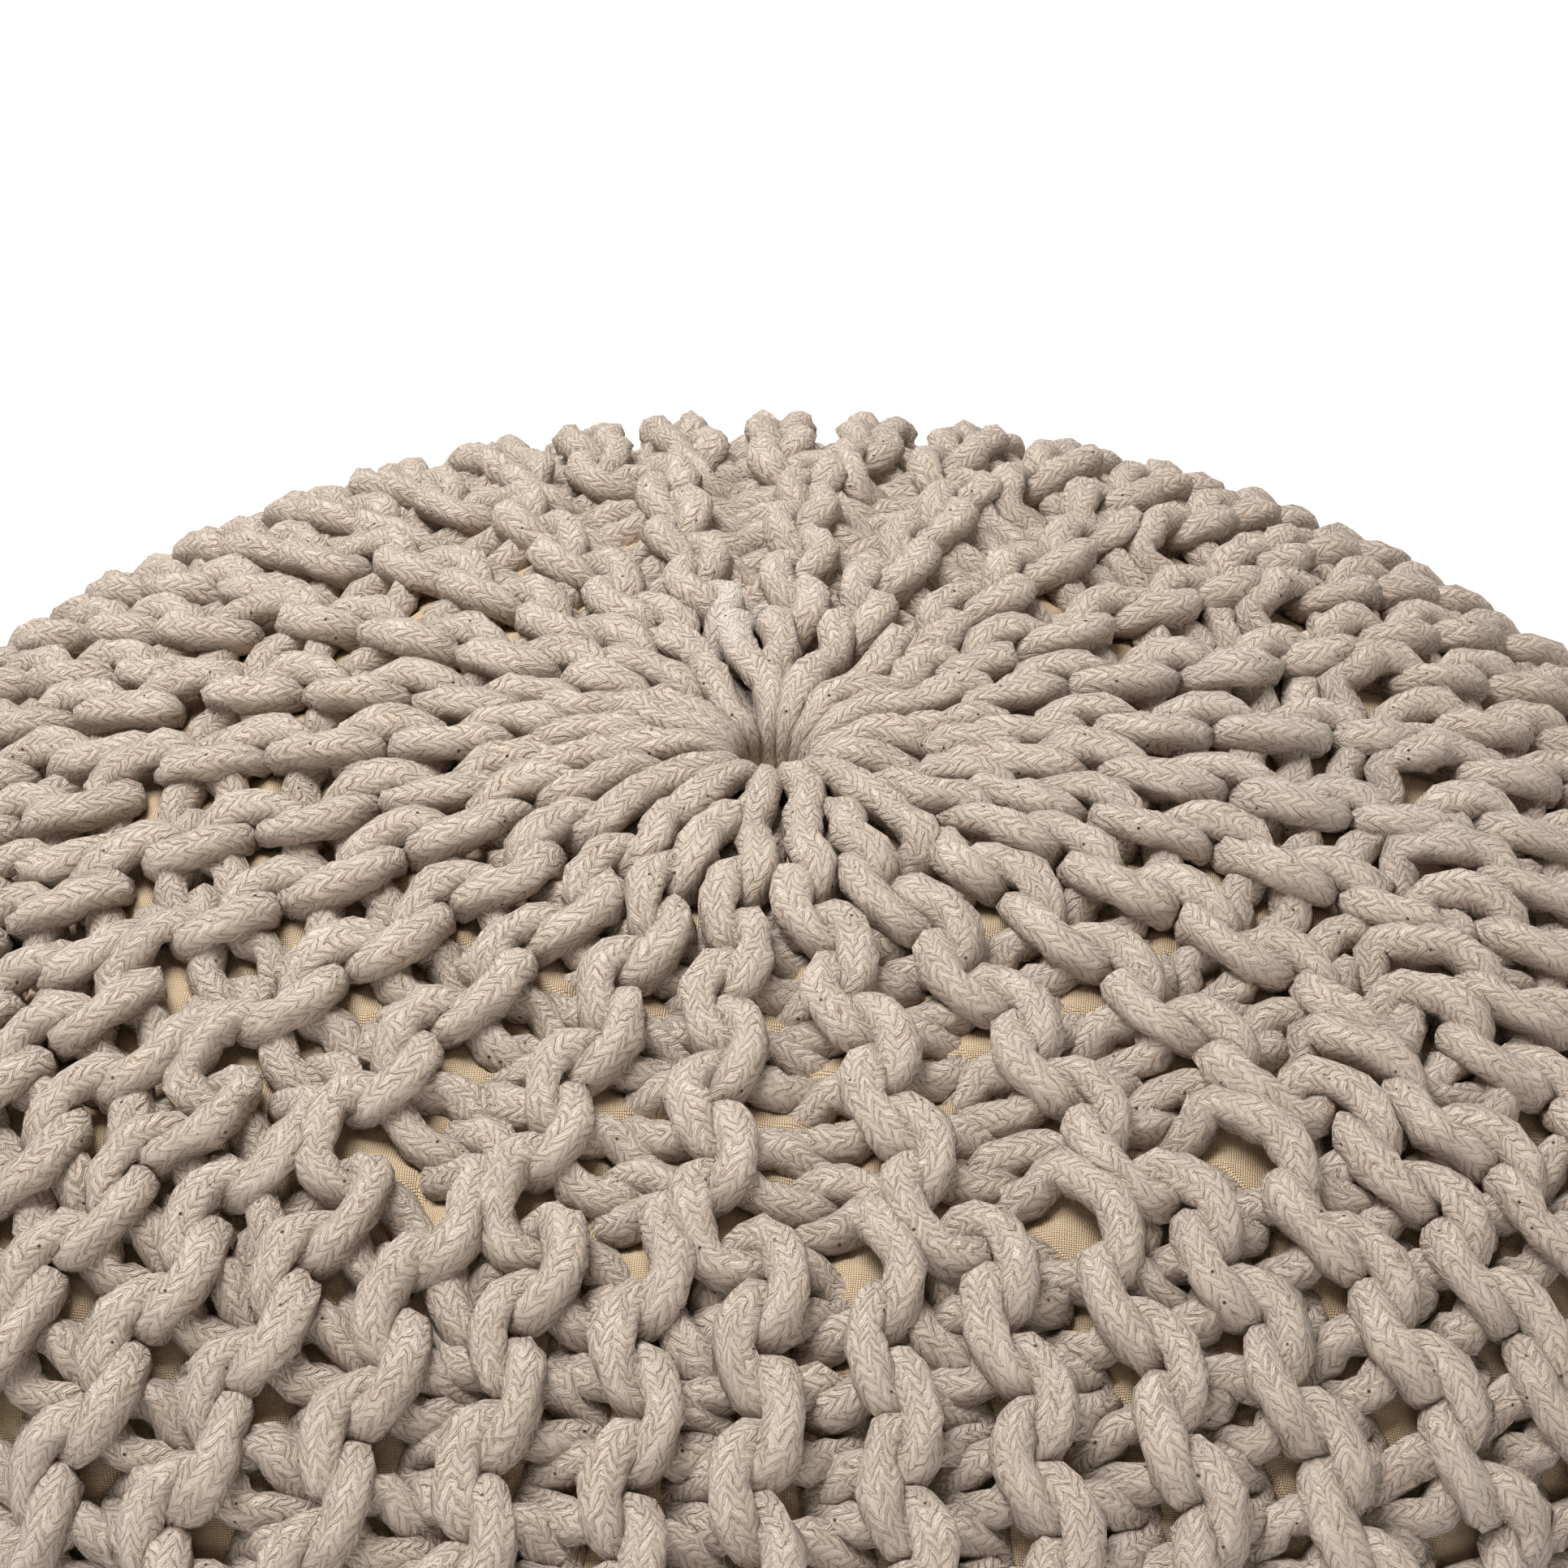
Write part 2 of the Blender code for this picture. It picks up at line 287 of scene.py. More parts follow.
def joinRows(before, after):
    # the yarn turns from one row into the next, on a Hermite curve
    names = ("s", "azimuth", "depth", "thin")
    a = np.array([before[name][-2:] for name in names])
    b = np.array([after[name][:2] for name in names])
    r = np.interp(a[0, 1], profile["s"], profile["r"])
    gap = (b[:, 0] - a[:, 1]) * (1, r, 1, 0)
    count = int(np.linalg.norm(gap) * knit["turnLength"] / knit["stitch"] * knit["pointsPerStitch"])
    if count < 1:
        return {name: np.concatenate((before[name], after[name])) for name in names}
    t = (np.arange(1, count + 1) / (count + 1))[None, :]
    speed = count + 1
    turn = (2 * t ** 3 - 3 * t ** 2 + 1) * a[:, 1:]
    turn = turn + (t ** 3 - 2 * t ** 2 + t) * speed * (a[:, 1:] - a[:, :1])
    turn = turn + (3 * t ** 2 - 2 * t ** 3) * b[:, :1]
    turn = turn + (t ** 3 - t ** 2) * speed * (b[:, 1:] - b[:, :1])
    return {name: np.concatenate((before[name], turn[k], after[name])) for k, name in enumerate(names)}


def layRows():
    rng = np.random.default_rng(handWork["seed"])
    size, marks = handWork["line"], handWork["lineMarks"]
    lineCount = knit["linesPerSector"] * knit["sectors"]
    lines = [wander(rng, size, marks, profile["length"]) for _ in range(lineCount)]
    chains = []
    for sector in range(knit["sectors"]):
        parts = []
        for index, row in enumerate(rows):
            part = rowPath(row, sector, rng, lines)
            if index % 2:  # rows go down and up by turns
                part = {name: values[::-1] for name, values in part.items()}
            parts.append(part)
        chain = parts[0]
        for part in parts[1:]:
            chain = joinRows(chain, part)
        chains.append(chain)
    print("rows laid:", len(rows) * len(chains), "in", len(chains), "sectors")
    return chains


settling = {  # the rows push each other aside in small steps
    "rounds": 90,
    "squeeze": 0.74,  # cords press into each other to this share of their thickness
    "startSize": 0.6,  # they start thinner and swell
    "freshPairs": 6,  # rounds after which the cords that are near each other are found again
    "near": 1.25,  # in cords
    "ownCord": 5,  # points of one cord that are no further apart along it don't touch
    "push": 1.3,
    "tight": 0.98,  # the pull of knitting shortens the loops to this share
    "tightRounds": 60,
    "pull": 0.25,
    "stiffness": 0.05,
    "anchor": 0.08,  # back to where the row was laid
    "deepest": 2.05,  # of the cord's middle under that of the highest, in lifts
    "raise": 0.5,  # of what a cord lies too deep, in a round
    "press": 0.6,  # of what it stands over the form
    "openRounds": 8,
    "kink": 0.28,  # turns with more sag than this share of a step open a little
    "open": (3, 0.5),  # how fast, and the most in a round
    "least": 1e-6,  # keeps the divisions safe
}


def closePairs(points, chainOf, placeIn, reach):
    # all pairs of points within reach, found through a grid with cells of that size
    cell = np.floor(points / reach).astype(np.int64)
    cell -= cell.min(axis=0) - 1
    size = cell.max(axis=0) + 2
    key = (cell[:, 0] * size[1] + cell[:, 1]) * size[2] + cell[:, 2]
    order = np.argsort(key, kind="stable")
    ordered = key[order]
    steps = [(dx, dy, dz) for dx in (-1, 0, 1) for dy in (-1, 0, 1) for dz in (-1, 0, 1)]
    firsts, seconds = [], []
    for dx, dy, dz in steps:
        shift = (dx * size[1] + dy) * size[2] + dz
        if shift < 0:
            continue
        low = np.searchsorted(ordered, key + shift, side="left")
        high = np.searchsorted(ordered, key + shift, side="right")
        count = high - low
        first = np.repeat(np.arange(len(points)), count)
        offset = np.arange(len(first)) - np.repeat(np.cumsum(count) - count, count)
        second = order[np.repeat(low, count) + offset]
        if shift == 0:
            keep = first < second
            first, second = first[keep], second[keep]
        near = np.abs(placeIn[first] - placeIn[second]) > settling["ownCord"]
        near |= chainOf[first] != chainOf[second]
        gap = points[first] - points[second]
        near &= np.einsum("ij,ij->i", gap, gap) < reach * reach
        firsts.append(first[near])
        seconds.append(second[near])
    return np.concatenate(firsts), np.concatenate(seconds)


def addAt(count, index, values):
    return np.stack([np.bincount(index, values[:, k], count) for k in range(3)], axis=1)


def settleKnit(chains):
    names = ("s", "azimuth", "depth", "thin")
    s, azimuth, depth, thin = (np.concatenate([c[name] for c in chains]) for name in names)
    base = onForm(s, azimuth, depth)
    out = outward(s, azimuth)
    chainOf = np.concatenate([np.full(len(c["s"]), k) for k, c in enumerate(chains)])
    placeIn = np.concatenate([np.arange(len(c["s"])) for c in chains])
    count = len(base)
    points = base.copy()
    before = np.where(placeIn > 0, np.arange(count) - 1, np.arange(count))
    after = np.where(np.append(placeIn[1:], 0) > 0, np.arange(count) + 1, np.arange(count))
    half = knit["cord"] / 2 * thin
    spacing = np.linalg.norm(base[after] - base, axis=1)
    deepest = knit["cord"] / 2 + knit["lift"] * knit["cord"] * settling["deepest"]
    for turn in range(settling["rounds"]):
        # cords that overlap move apart, each by half of it
        if turn % settling["freshPairs"] == 0:
            first, second = closePairs(points, chainOf, placeIn, knit["cord"] * settling["near"])
        grow = min(1.0, settling["startSize"] + turn / settling["rounds"])
        need = (half[first] + half[second]) * settling["squeeze"] * grow
        gap = points[first] - points[second]
        distance = np.maximum(np.linalg.norm(gap, axis=1), settling["least"])
        push = np.maximum(need - distance, 0)[:, None] * gap / distance[:, None] * 0.5
        touching = (need > distance).astype(float)
        hits = np.bincount(first, touching, count) + np.bincount(second, touching, count)
        move = addAt(count, first, push) - addAt(count, second, push)
        points += settling["push"] * move / np.maximum(hits, 1.0)[:, None]
        # the yarn keeps its length and its stiffness
        link = points[after] - points
        length = np.maximum(np.linalg.norm(link, axis=1), settling["least"])
        shorter = spacing * blend(1.0, settling["tight"], min(1.0, turn / settling["tightRounds"]))
        pull = ((length - shorter) / length * settling["pull"])[:, None] * link
        pull[after == np.arange(count)] = 0
        points += pull
        points -= addAt(count, after, pull)
        points += settling["stiffness"] * (0.5 * (points[before] + points[after]) - points)
        # and stays between the bag and the outside
        points += settling["anchor"] * (base - points)
        sunk = depth - np.einsum("ij,ij->i", points - base, out)
        limit = np.maximum(deepest, depth)
        points += (np.maximum(sunk - limit, 0) * settling["raise"])[:, None] * out
        high = np.maximum(half - sunk, 0)
        points -= (high * settling["press"])[:, None] * out
    speed, most = settling["open"]
    for _ in range(settling["openRounds"]):
        middle = 0.5 * (points[before] + points[after]) - points
        kink = np.linalg.norm(middle, axis=1) / np.maximum(spacing, settling["least"])
        points += np.clip(speed * (kink - settling["kink"]), 0, most)[:, None] * middle
    cords = np.linalg.norm(np.diff(points, axis=0), axis=1)[placeIn[1:] > 0]
    print(f"knit settled: {count} points, {cords.sum():.1f} m of cord")
    starts = np.flatnonzero(placeIn == 0).tolist() + [count]
    pieces = [slice(a, b) for a, b in zip(starts, starts[1:])]
    return [{"points": points[piece], "half": half[piece], "out": out[piece]} for piece in pieces]


cordSkin = {
    "wedges": 6,  # pieces round the pouf
    "sides": 10,
    "pointsPerStitch": 22,
    "lumps": 0.13,  # of the radius
    "softLumps": 0.8,  # those that run on into the next sides and points
    "sharpLumps": 0.6,
    "sharpShift": 3,  # taken this many sides away, so that they don't follow the soft ones
    "mostLumps": 2,
    "seed": 11,
}


def smoothAlong(points, half, count):
    # Catmull-Rom through the settled points, evenly by length
    along = np.concatenate(([0.0], np.cumsum(np.linalg.norm(np.diff(points, axis=0), axis=1))))
    place = np.interp(np.linspace(0, along[-1], count), along, np.arange(len(points)))
    start = np.clip(place.astype(int), 0, len(points) - 2)
    t = (place - start)[:, None]
    ends = [np.clip(start + k, 0, len(points) - 1) for k in (-1, 0, 1, 2)]
    a, b, c, d = (points[e] for e in ends)
    curve = 2 * b + (c - a) * t + (2 * a - 5 * b + 4 * c - d) * t ** 2
    curve = 0.5 * (curve + (3 * b - a - 3 * c + d) * t ** 3)
    return curve, np.interp(place, np.arange(len(half)), half)


def carryFrames(points, out):
    # two directions square to the cord, carried along it without twist
    tangent = np.gradient(points, axis=0)
    tangent /= np.linalg.norm(tangent, axis=1)[:, None]
    side = np.cross(tangent[0], out[0])
    side /= np.linalg.norm(side)
    sides = np.empty_like(points)
    for k, direction in enumerate(tangent):
        side = side - direction * side.dot(direction)
        side /= math.sqrt(side.dot(side))
        sides[k] = side
    return sides, np.cross(tangent, sides)


def cordTube(chain, rng):
    count = int(len(chain["points"]) * cordSkin["pointsPerStitch"] / knit["pointsPerStitch"])
    centre, half = smoothAlong(chain["points"], chain["half"], count)
    sideA, sideB = carryFrames(centre, chain["out"])
    sides = cordSkin["sides"]
    turn = 2 * math.pi * np.arange(sides) / sides
    ring = np.cos(turn)[None, :, None] * sideA[:, None, :]
    ring = ring + np.sin(turn)[None, :, None] * sideB[:, None, :]
    # the roots keep the spread of the softened numbers at 1
    stitches = rng.normal(0, 1, (count + 2, sides))
    lumps = (stitches[:-2] + 2 * stitches[1:-1] + stitches[2:]) / 6 ** 0.5
    lumps = (2 * lumps + np.roll(lumps, 1, 1)) / 5 ** 0.5 * cordSkin["softLumps"]
    lumps = lumps + np.roll(stitches[1:-1], cordSkin["sharpShift"], 1) * cordSkin["sharpLumps"]
    lumps = np.clip(lumps, -cordSkin["mostLumps"], cordSkin["mostLumps"])
    radius = half[:, None] * (1 + cordSkin["lumps"] * lumps)
    verts = (centre[:, None, :] + ring * radius[:, :, None]).reshape(-1, 3)
    starts = np.arange(count - 1)[:, None] * sides
    cols = np.arange(sides)[None, :]
    after = (cols + 1) % sides
    quads = (starts + cols, starts + after, starts + sides + after, starts + sides + cols)
    quads = np.stack(quads, axis=-1).reshape(-1, 4)
    # u runs once round the cord and v along it in metres
    along = np.concatenate(([0.0], np.cumsum(np.linalg.norm(np.diff(centre, axis=0), axis=1))))
    shape = (count - 1, sides)
    left, right = np.broadcast_to(cols / sides, shape), np.broadcast_to((cols + 1) / sides, shape)
    low, high = np.broadcast_to(along[:-1, None], shape), np.broadcast_to(along[1:, None], shape)
    u = np.stack((left, right, right, left), axis=-1)
    v = np.stack((low, low, high, high), axis=-1)
    uv = np.stack((u.reshape(-1), v.reshape(-1)), axis=-1)
    caps = [list(range(sides))[::-1], [(count - 1) * sides + k for k in range(sides)]]
    return verts, quads, uv, caps


def meshFrom(name, verts, quads, uv, caps, uvName):
    mesh = bpy.data.meshes.new(name)
    capCorners = [corner for cap in caps for corner in cap]
    corners = np.concatenate((quads.reshape(-1), np.array(capCorners, dtype=int)))
    sizes = np.concatenate((np.full(len(quads), 4), np.array([len(cap) for cap in caps], dtype=int)))
    mesh.vertices.add(len(verts))
    mesh.vertices.foreach_set("co", verts.reshape(-1).astype(np.float32))
    mesh.loops.add(len(corners))
    mesh.loops.foreach_set("vertex_index", corners.astype(np.int32))
    mesh.polygons.add(len(sizes))
    mesh.polygons.foreach_set("loop_start", (np.cumsum(sizes) - sizes).astype(np.int32))
    mesh.update(calc_edges=True)
    layer = mesh.uv_layers.new(name=uvName)
    allUv = np.concatenate((uv.reshape(-1), np.zeros(2 * len(capCorners))))
    layer.data.foreach_set("uv", allUv.astype(np.float32))
    mesh.shade_smooth()
    mesh.validate()
    obj = bpy.data.objects.new(name, mesh)
    bpy.context.scene.collection.objects.link(obj)
    return obj


def makeCover(chains, material):
    rng = np.random.default_rng(cordSkin["seed"])
    each = len(chains) // cordSkin["wedges"]
    total = 0
    for wedge in range(cordSkin["wedges"]):
        verts, quads, uv, caps, start = [], [], [], [], 0
        for chain in chains[wedge * each:(wedge + 1) * each]:
            v, q, t, c = cordTube(chain, rng)
            verts.append(v)
            quads.append(q + start)
            uv.append(t)
            caps += [[corner + start for corner in cap] for cap in c]
            start += len(v)
        obj = meshFrom(f"knitted_cord_{wedge + 1}", np.concatenate(verts), np.concatenate(quads),
                       np.concatenate(uv), caps, "cord")
        obj.data.materials.append(material)
        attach(obj, "root")
        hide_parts("knitted_cover")
        total += len(obj.data.polygons)
    print("cover swept:", cordSkin["wedges"], "pieces,", total, "faces")


class Socket:
    # a shader socket that Python expressions can use
    def __init__(self, tree, link):
        self.tree = tree
        self.link = link

    def node(self, kind, settings, values, output=0):
        made = self.tree.nodes.new(kind)
        for name, setting in settings.items():
            setattr(made, name, setting)
        for name, value in values.items():
            if isinstance(value, Socket):
                self.tree.links.new(value.link, made.inputs[name])
            else:
                made.inputs[name].default_value = value
        return Socket(self.tree, made.outputs[output])

    def math(self, operation, *values):
        return self.node("ShaderNodeMath", {"operation": operation}, dict(enumerate(values)))

    def vectorMath(self, operation, *others, output="Vector"):
        values = dict(enumerate((self, *others)))
        return self.node("ShaderNodeVectorMath", {"operation": operation}, values, output)

    def __add__(self, other):
        return self.math("ADD", self, other)

    def __sub__(self, other):
        return self.math("SUBTRACT", self, other)

    def __rsub__(self, other):
        return self.math("SUBTRACT", other, self)

    def __mul__(self, other):
        return self.math("MULTIPLY", self, other)

    def __pow__(self, other):
        return self.math("POWER", self, other)

    def __abs__(self):
        return self.math("ABSOLUTE", self)

    __radd__ = __add__
    __rmul__ = __mul__

    def fraction(self):
        return self.math("FRACT", self)

    def whole(self):
        return self.math("FLOOR", self)

    def saw(self):  # 1 at whole numbers, 0 halfway between them
        return abs(self.fraction() * 2 - 1)

    def over(self, edge, soft):  # 0 under the edge, 1 over it
        return self.node("ShaderNodeMapRange", {"interpolation_type": "SMOOTHSTEP"},
                         {"Value": self, "From Min": edge - soft, "From Max": edge + soft}, "Result")

    def noise(self, scale, detail=2.0, rough=0.5):
        values = {"Vector": self, "Scale": scale, "Detail": detail, "Roughness": rough}
        return self.node("ShaderNodeTexNoise", {}, values, "Fac")

    def sway(self, scale, size):  # a noise to both sides of nothing
        return (self.noise(scale) - 0.5) * size

    def dice(self):  # another number from 0 to 1 for each value
        return self.node("ShaderNodeTexWhiteNoise", {"noise_dimensions": "1D"}, {"W": self}, "Value")

    def cells(self, scale, output):
        return self.node("ShaderNodeTexVoronoi", {}, {"Vector": self, "Scale": scale}, output)

    def mix(self, under, top):  # colours, by this share
        under, top = (value if isinstance(value, Socket) else (*value, 1.0) for value in (under, top))
        return self.node("ShaderNodeMix", {"data_type": "RGBA"}, {0: self, 6: under, 7: top}, 2)

    def vector(self, x, y, z):
        return self.node("ShaderNodeCombineXYZ", {}, {0: x, 1: y, 2: z})

    def parts(self):
        return [self.node("ShaderNodeSeparateXYZ", {}, {0: self}, k) for k in range(3)]


def startMaterial(name):
    material = bpy.data.materials.new(name)
    material.use_nodes = True
    tree = material.node_tree
    return material, Socket(tree, None), tree.nodes["Principled BSDF"]


def finishMaterial(shader, colour, rough, height, depth):
    tree = colour.tree
    values = {"Height": height, "Distance": depth, "Strength": 1.0}
    bump = height.node("ShaderNodeBump", {}, values, "Normal")
    tree.links.new(colour.link, shader.inputs["Base Color"])
    tree.links.new(bump.link, shader.inputs["Normal"])
    shader.inputs["Roughness"].default_value = rough


cordLook = {  # a noise starts with its waves a metre
    "wales": 6,  # columns of small stitches round the cord
    "course": 0.0024,  # length of one small stitch
    "slant": 1.25,  # how far its two arms lean along the cord, in courses
    "swayAlong": (260, 0.0028),  # hand-made unevenness of the little stitches
    "swayRound": (190, 0.85),
    "armShift": 0.3,  # the two arms of a column don't quite match
    "strokeNoise": (800, 1),
    "strokeShift": 0.32,
    "strokeRound": 1.6,
    "arch": 0.4,  # how much lower a stroke is at its ends
    "plies": 3,  # in each stroke
    "plyNoise": 1000,
    "plyShift": 0.6,
    "plyRound": 1.4,
    "fibres": (9, 1.6, 120),  # how fine: across an arm, along it, and along the cord
    "fibreShift": 7.3,  # so that no two columns are alike
    "fibreNoise": (1.0, 3, 0.6),
    "fuzz": (1500, 4, 0.7),
    "relief": {"arms": 0.70, "plies": 0.28, "fibre": 0.60, "fuzz": 0.85, "luck": 0.30},
    "grooveDepth": 0.0016,
    # the colour follows the strokes and plies and darkens where they dip: painted shade in the grooves
    # and across each stroke; fibre, fuzz and luck give the yarn's own uneven tone
    "shading": {"arms": 0.34, "plies": 0.20, "fibre": 0.55, "fuzz": 0.65, "luck": 0.16},
    "shadingEdge": (0.82, 0.27),
    "pale": (0.885, 0.755, 0.638),
    # the dark end of the colour: painted shade in the grooves, and the darkest fibres
    "darkFibreAndGrooveShade": (0.32, 0.195, 0.112),
    "whiter": {"at": (-0.0115, 0.049, 0.285), "reach": (0.006, 0.018, 0.04),
               "edge": (1.0, 0.25), "colour": (0.90, 0.81, 0.71)},
    "cleaner": {"noise": (9, 1), "edge": (0.62, 0.10), "share": 0.25, "colour": (0.80, 0.73, 0.66)},
    "duller": {"noise": (55, 2), "edge": (0.55, 0.25), "share": 0.16, "colour": (0.46, 0.36, 0.27)},
    "seeds": {"cells": 430.0, "size": (0.16, 0.05), "few": (0.935, 0.004),
              "colour": (0.10, 0.06, 0.035)},
    "roughness": 0.95,
    "flatness": 0.8,  # cotton fuzz scatters light more evenly than a smooth surface
    "sheen": 0.08,
    "sheenRoughness": 0.5,
    "gloss": 0.2,
}


def makeCordMaterial():
    look = cordLook
    material, paint, shader = startMaterial("cotton cord")
    place = paint.node("ShaderNodeTexCoord", {}, {}, "Object")
    turn, along, _ = paint.node("ShaderNodeUVMap", {"uv_map": "cord"}, {}, "UV").parts()
    along = along + place.sway(*look["swayAlong"])
    turn = turn * look["wales"] + place.sway(*look["swayRound"])
    # every column is a chain of slanting strokes that meet in its middle
    arm = abs(turn.fraction() - 0.5) * 2
    phase = along * (1 / look["course"]) + arm * look["slant"] + turn.whole().dice()
    phase = phase + (turn * 2).whole().dice() * look["armShift"]
    phase = phase + place.noise(*look["strokeNoise"]) * look["strokeShift"]
    stroke = paint.vector(phase.whole(), (turn * 2).whole(), 0.5)
    plump = 1 - phase.saw() ** look["strokeRound"]
    arch = 1 - (arm * 2 - 1) ** 2 * look["arch"]
    plies = phase * look["plies"] + place.noise(look["plyNoise"]) * look["plyShift"]
    across, down, length = look["fibres"]
    fibres = paint.vector(phase * across, arm * down + turn.whole() * look["fibreShift"], along * length)
    layers = {
        "arms": plump * arch,
        "plies": 1 - plies.saw() ** look["plyRound"],
        "fibre": fibres.noise(*look["fibreNoise"]),
        "fuzz": place.noise(*look["fuzz"]),
        "luck": paint.node("ShaderNodeTexWhiteNoise", {}, {"Vector": stroke}, "Value"),
    }
    height = sum(layer * look["relief"][name] for name, layer in layers.items())
    # painted shade: the colour darkens in the grooves between strokes and plies, mixed with the yarn's
    # own uneven tone
    shade = sum(layer * look["shading"][name] for name, layer in layers.items())
    shade = shade.over(*look["shadingEdge"])
    colour = shade.mix(look["darkFibreAndGrooveShade"], look["pale"])
    white = look["whiter"]  # the whiter length of cord beside the gather
    away = place.vectorMath("SUBTRACT", white["at"]).vectorMath("DIVIDE", white["reach"])
    away = away.vectorMath("LENGTH", output="Value")
    colour = ((1 - away.over(*white["edge"])) * shade).mix(colour, white["colour"])
    clean = look["cleaner"]
    patches = place.noise(*clean["noise"]).over(*clean["edge"])
    colour = (patches * shade * clean["share"]).mix(colour, clean["colour"])
    dull = look["duller"]
    patches = place.noise(*dull["noise"]).over(*dull["edge"])
    colour = (patches * dull["share"]).mix(colour, dull["colour"])
    seeds = look["seeds"]
    pick, _, _ = place.cells(seeds["cells"], "Color").parts()
    flecks = 1 - place.cells(seeds["cells"], "Distance").over(*seeds["size"])
    colour = (flecks * pick.over(*seeds["few"])).mix(colour, seeds["colour"])
    shader.inputs["Diffuse Roughness"].default_value = look["flatness"]
    shader.inputs["Sheen Weight"].default_value = look["sheen"]
    shader.inputs["Sheen Roughness"].default_value = look["sheenRoughness"]
    shader.inputs["Specular IOR Level"].default_value = look["gloss"]
    finishMaterial(shader, colour, look["roughness"], height, look["grooveDepth"])
    return material


calicoLook = {
    "thread": 0.00050,  # pitch of the plain weave
    "warpNoise": 260,
    "weftNoise": 230,
    "wander": 1.2,  # of the threads, in threads
    "under": 0.5,  # height of a thread at the edge of its crossing, of that in the middle
    "slubs": (420, 3, 0.6),  # thick places in the yarn
    "slubHeight": 0.5,
    "slubShade": 0.4,
    "shadingEdge": (0.56, 0.32),
    "threadDepth": 0.00028,
    # painted light on the threads that lie higher, and painted shade in the gaps between them
    "lit": (0.80, 0.62, 0.42),
    "hole": (0.42, 0.27, 0.13),
    "roughness": 0.9,
}


def makeCalicoMaterial():
    look = calicoLook
    material, paint, shader = startMaterial("calico")
    place = paint.node("ShaderNodeTexCoord", {}, {}, "Object")
    warp, weft, _ = paint.node("ShaderNodeUVMap", {"uv_map": "cloth"}, {}, "UV").parts()
    warp = warp * (1 / look["thread"]) + place.noise(look["warpNoise"]) * look["wander"]
    weft = weft * (1 / look["thread"]) + place.noise(look["weftNoise"]) * look["wander"]
    warpRound = 1 - (warp.fraction() * 2 - 1) ** 2
    weftRound = 1 - (weft.fraction() * 2 - 1) ** 2
    warpOnTop = ((warp.whole() + weft.whole()) * 0.5).fraction() * 2
    warpHeight = warpOnTop * warpRound * (weftRound * (1 - look["under"]) + look["under"])
    weftHeight = (1 - warpOnTop) * weftRound * (warpRound * (1 - look["under"]) + look["under"])
    height = warpHeight + weftHeight
    slub = place.noise(*look["slubs"])
    # painted light and shade of the weave: high threads and thick slubs get the lit colour, the gaps
    # between threads the darker one
    lit = (height + slub * look["slubShade"]).over(*look["shadingEdge"])
    colour = lit.mix(look["hole"], look["lit"])
    height = height + slub * look["slubHeight"]
    finishMaterial(shader, colour, look["roughness"], height, look["threadDepth"])
    return material


bag = {
    "columns": 400,
    "rings": 200,
    "depth": 0.0113,  # where nothing presses on it, under the highest cords
    "deeper": 0.0015,  # further in down the side
    "deeperFrom": (0.12, 0.18),  # from the top centre along the surface
    "deepest": 0.021,
    "presses": 3,
    "give": 1.2,  # how far the calico moves, of what a cord presses into it
    "touch": 0.0003,  # between cord and calico
    "spread": 0.6,  # how much of a press the calico beside it takes up
    "slack": 0.0005,  # and the most that this may lift it where it is pressed
}


def makeBag(chains, material):
    columns, rings = bag["columns"], bag["rings"]
    s = np.linspace(0.0, profile["length"], rings + 1)
    azimuth = np.linspace(0, 2 * math.pi, columns, endpoint=False)
    ringS, ringAz = np.repeat(s, columns), np.tile(azimuth, rings + 1)
    points = np.concatenate([chain["points"] for chain in chains])
    half = np.concatenate([chain["half"] for chain in chains])
    tree = KDTree(len(points))
    for k, point in enumerate(points):
        tree.insert(point, k)
    tree.balance()
    depth = bag["depth"] + bag["deeper"] * smoothStep(*bag["deeperFrom"], ringS)
    for press in range(bag["presses"]):
        grid = onForm(ringS, ringAz, depth)
        for k, vertex in enumerate(grid):
            _, index, distance = tree.find(vertex)
            depth[k] += max(half[index] + bag["touch"] - distance, 0.0) * bag["give"]
        if press < bag["presses"] - 1:
            even = depth.reshape(rings + 1, columns)
            soft = 0.25 * (np.roll(even, 1, 1) + np.roll(even, -1, 1))  # the mean of the four neighbours
            soft[1:-1] += 0.25 * (even[:-2] + even[2:])
            soft[0], soft[-1] = even[0], even[-1]
            depth = np.maximum(blend(even, soft, bag["spread"]), even - bag["slack"]).reshape(-1)
    depth = np.clip(depth, bag["depth"], bag["deepest"])
    ringDepths = depth.reshape(rings + 1, columns)
    ringDepths[0] = ringDepths[0].mean()
    ringDepths[-1] = ringDepths[-1].mean()
    grid = onForm(ringS, ringAz, depth)
    fromPole = np.minimum(ringS, profile["length"] - ringS)
    flatUv = np.stack((fromPole * np.cos(ringAz), fromPole * np.sin(ringAz)), axis=-1)
    r = np.arange(rings)[:, None] * columns
    c = np.arange(columns)[None, :]
    after = (c + 1) % columns
    quads = np.stack((r + c, r + columns + c, r + columns + after, r + after), axis=-1).reshape(-1, 4)
    obj = meshFrom("calico_bag", grid, quads, flatUv[quads.reshape(-1)], [], "cloth")
    obj.data.materials.append(material)
    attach(obj, "root")
    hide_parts("inner_bag")
    print(f"bag pressed: deepest {depth.max() * 1000:.1f} mm, mean {depth.mean() * 1000:.1f} mm")


stage = {
    "floor": 4.0,  # flat out to this radius, where it sweeps up into a low wall
    "sweep": 1.5,
    "sweepSteps": 6,
    "wall": 2.6,  # height of its top
    "columns": 64,
    "colour": (0.92, 0.92, 0.92),
    "roughness": 0.9,
    "glow": (1.7, 0.8),  # the floor turns into a lit backdrop about this far out
    "glowStrength": 1.0,
    "sky": 0.12,
    "skyColour": (1.0, 0.90, 0.78),
    "lamps": (
        {"name": "key", "place": (-0.28, 0.05, 1.2), "aim": (0, 0, 0.25), "watts": 13.4, "size": 0.5},
        {"name": "backdrop", "place": (0.4, 3.0, 2.2), "aim": (0.4, 3.0, 0), "watts": 75, "size": 2.0},
    ),
}


